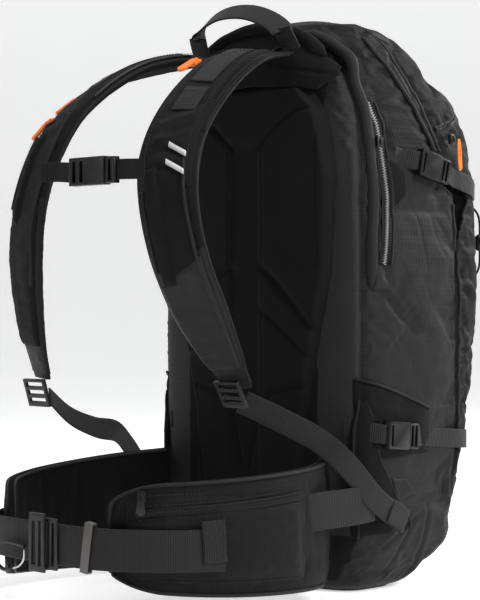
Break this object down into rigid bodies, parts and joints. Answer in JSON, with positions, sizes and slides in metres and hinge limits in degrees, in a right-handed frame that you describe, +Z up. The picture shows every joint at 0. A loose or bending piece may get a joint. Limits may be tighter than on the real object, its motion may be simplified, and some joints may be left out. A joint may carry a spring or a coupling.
{
  "type": "avalanche airbag backpack",
  "caption": "Ski touring backpack with a fan-driven avalanche airbag, shoulder harness with trigger handle, padded hip belt with metal buckle and leg strap clip.",
  "frame": {"origin": "centre of the flat base the pack stands on", "axes": "+Z up, -Y towards the wearer's back, +X towards the wearer's left"},
  "size_m": [0.3417, 0.527, 0.6208],
  "materials": {
    "shell_fabric": "coated ripstop nylon, charcoal, matt",
    "panel_fabric": "stretch-faced moulded foam, black, matt",
    "strap_fabric": "fabric over foam, black, matt",
    "webbing": "ribbed polyamide webbing, black",
    "black_plastic": "moulded acetal, black, satin",
    "gunmetal": "anodised gunmetal, satin",
    "steel": "bright steel",
    "orange_cord": "orange over-moulded cord",
    "grey_plastic": "moulded nylon, dark grey",
    "airbag_nylon": "folded thin coated nylon, orange"
  },
  "bodies": {
    "pack": {"main_shell": "shell_fabric", "front_pocket_shell": "shell_fabric", "back_panel": "panel_fabric", "frame_sheet": "grey_plastic", "frame_stay": "steel", "top_yoke": "panel_fabric", "side_fin_left": "shell_fabric", "side_fin_right": "shell_fabric", "shoulder_strap_left": "strap_fabric", "strap_cover_left": "strap_fabric", "strap_webbing_left": "webbing", "shoulder_strap_right": "strap_fabric", "strap_cover_right": "strap_fabric", "strap_webbing_right": "webbing", "trigger_cable": "black_plastic", "sternum_socket": "black_plastic", "sternum_webbing_left": "webbing", "sternum_webbing_right": "webbing", "hip_wing_left": "strap_fabric", "hip_webbing_left": "webbing", "hip_wing_right": "strap_fabric", "hip_webbing_right": "webbing", "leg_clip_body": "gunmetal", "compression_socket_upper_left": "black_plastic", "compression_webbing_upper_left": "webbing", "compression_socket_lower_left": "black_plastic", "compression_webbing_lower_left": "webbing", "compression_socket_upper_right": "black_plastic", "compression_webbing_upper_right": "webbing", "compression_socket_lower_right": "black_plastic", "compression_webbing_lower_right": "webbing", "fan_housing": "grey_plastic", "fan_motor": "steel", "capacitor_pack": "gunmetal", "control_unit": "grey_plastic", "airbag": "airbag_nylon"},
    "impeller": {"impeller": "steel"},
    "trigger": {"trigger_handle": "orange_cord"},
    "haul_loop": {"haul_loop": "webbing"},
    "sternum_plug": {"sternum_plug": "black_plastic"},
    "hip_frame": {"hip_buckle_frame": "gunmetal"},
    "hip_hook": {"hip_buckle_hook": "gunmetal"},
    "keeper": {"webbing_keeper": "gunmetal"},
    "clip_gate": {"leg_clip_gate": "steel"},
    "back_zip": {"back_zip_slider": "gunmetal"},
    "front_zip": {"front_zip_slider": "steel"},
    "front_pull": {"front_zip_pull": "orange_cord"},
    "strap_zip_left": {"strap_zip_slider_left": "orange_cord"},
    "strap_zip_upper": {"strap_zip_slider_right_upper": "orange_cord"},
    "strap_zip_lower": {"strap_zip_slider_right_lower": "orange_cord"},
    "hip_zip": {"hip_pocket_slider": "black_plastic"},
    "power_switch": {"power_switch": "orange_cord"},
    "lock_left": {"ladder_lock_left": "black_plastic"},
    "lock_right": {"ladder_lock_right": "black_plastic"},
    "cord_lock": {"tool_cord_lock": "black_plastic"},
    "plug_upper_left": {"compression_plug_upper_left": "black_plastic"},
    "plug_upper_right": {"compression_plug_upper_right": "black_plastic"},
    "plug_lower_left": {"compression_plug_lower_left": "black_plastic"},
    "plug_lower_right": {"compression_plug_lower_right": "black_plastic"}
  },
  "joints": [
    {"name": "impeller_spin", "type": "hinge", "parent": "pack", "child": "impeller", "pos_m": [0, 0.019, 0.448], "axis": [0, 1, 0], "continuous": true},
    {"name": "trigger_pull", "type": "slide", "parent": "pack", "child": "trigger", "axis": [0.0554, 0.3216, -0.9453], "range_m": [0, 0.016]},
    {"name": "haul_loop_swing", "type": "hinge", "parent": "pack", "child": "haul_loop", "pos_m": [0, -0.081, 0.5835], "axis": [1, 0, 0], "range_deg": [-30, 40]},
    {"name": "sternum_release", "type": "slide", "parent": "pack", "child": "sternum_plug", "axis": [1, 0, 0], "range_m": [0, 0.016], "deforming": ["sternum_webbing_left"]},
    {"name": "compression_upper_left_release", "type": "slide", "parent": "pack", "child": "plug_upper_left", "axis": [0, 0.9759, -0.2182], "range_m": [0, 0.013], "deforming": ["compression_webbing_upper_left"]},
    {"name": "compression_upper_right_release", "type": "slide", "parent": "pack", "child": "plug_upper_right", "axis": [0, 0.9759, -0.2182], "range_m": [0, 0.013], "deforming": ["compression_webbing_upper_right"]},
    {"name": "compression_lower_left_release", "type": "slide", "parent": "pack", "child": "plug_lower_left", "axis": [0, 0.9968, -0.0799], "range_m": [0, 0.013], "deforming": ["compression_webbing_lower_left"]},
    {"name": "compression_lower_right_release", "type": "slide", "parent": "pack", "child": "plug_lower_right", "axis": [0, 0.9968, -0.0799], "range_m": [0, 0.013], "deforming": ["compression_webbing_lower_right"]},
    {"name": "hip_buckle_swing", "type": "hinge", "parent": "pack", "child": "hip_frame", "pos_m": [-0.0185, -0.3505, 0.068], "axis": [0, 0, -1], "range_deg": [0, 40]},
    {"name": "hip_hook_adjust", "type": "slide", "parent": "pack", "child": "hip_hook", "axis": [1, 0, 0], "range_m": [0, 0.018]},
    {"name": "keeper_slide", "type": "slide", "parent": "pack", "child": "keeper", "axis": [0.9902, 0.1395, 0], "range_m": [-0.004, 0.004]},
    {"name": "clip_gate_swing", "type": "hinge", "parent": "pack", "child": "clip_gate", "pos_m": [-0.03, -0.3495, 0.0594], "axis": [0, 1, 0], "range_deg": [0, 20], "stiffness_Nm_per_rad": 0.02},
    {"name": "back_zip_slide", "type": "slide", "parent": "pack", "child": "back_zip", "axis": [0.1299, 0, -0.9915], "range_m": [0, 0.105]},
    {"name": "front_zip_slide", "type": "slide", "parent": "pack", "child": "front_zip", "axis": [-0.1514, 0.8881, 0.434], "range_m": [0, 0.012]},
    {"name": "front_pull_swing", "type": "hinge", "parent": "front_zip", "child": "front_pull", "pos_m": [0.15766, 0.09257, 0.475], "axis": [0.178, -0.984, 0], "range_deg": [0, 60]},
    {"name": "strap_zip_left_slide", "type": "slide", "parent": "pack", "child": "strap_zip_left", "axis": [0.0721, -0.863, -0.5], "range_m": [0, 0.01]},
    {"name": "strap_zip_upper_slide", "type": "slide", "parent": "pack", "child": "strap_zip_upper", "axis": [-0.2049, -0.7674, -0.6076], "range_m": [0, 0.006]},
    {"name": "strap_zip_lower_slide", "type": "slide", "parent": "pack", "child": "strap_zip_lower", "axis": [-0.2182, -0.6055, -0.7653], "range_m": [0, 0.01]},
    {"name": "hip_zip_slide", "type": "slide", "parent": "pack", "child": "hip_zip", "axis": [0.8139, 0.581, 0], "range_m": [0, 0.012]},
    {"name": "power_press", "type": "slide", "parent": "pack", "child": "power_switch", "axis": [0, -1, 0], "range_m": [0, 0.0025], "stiffness_N_per_m": 800},
    {"name": "ladder_lock_left_tilt", "type": "hinge", "parent": "pack", "child": "lock_left", "pos_m": [0.087, -0.1874, 0.22039], "axis": [-1, 0, 0], "range_deg": [0, 20]},
    {"name": "ladder_lock_right_tilt", "type": "hinge", "parent": "pack", "child": "lock_right", "pos_m": [-0.118, -0.26648, 0.21878], "axis": [-1, 0, 0], "range_deg": [0, 20]},
    {"name": "cord_lock_slide", "type": "slide", "parent": "pack", "child": "cord_lock", "axis": [0, 0, 1], "range_m": [-0.012, 0.012]}
  ]
}
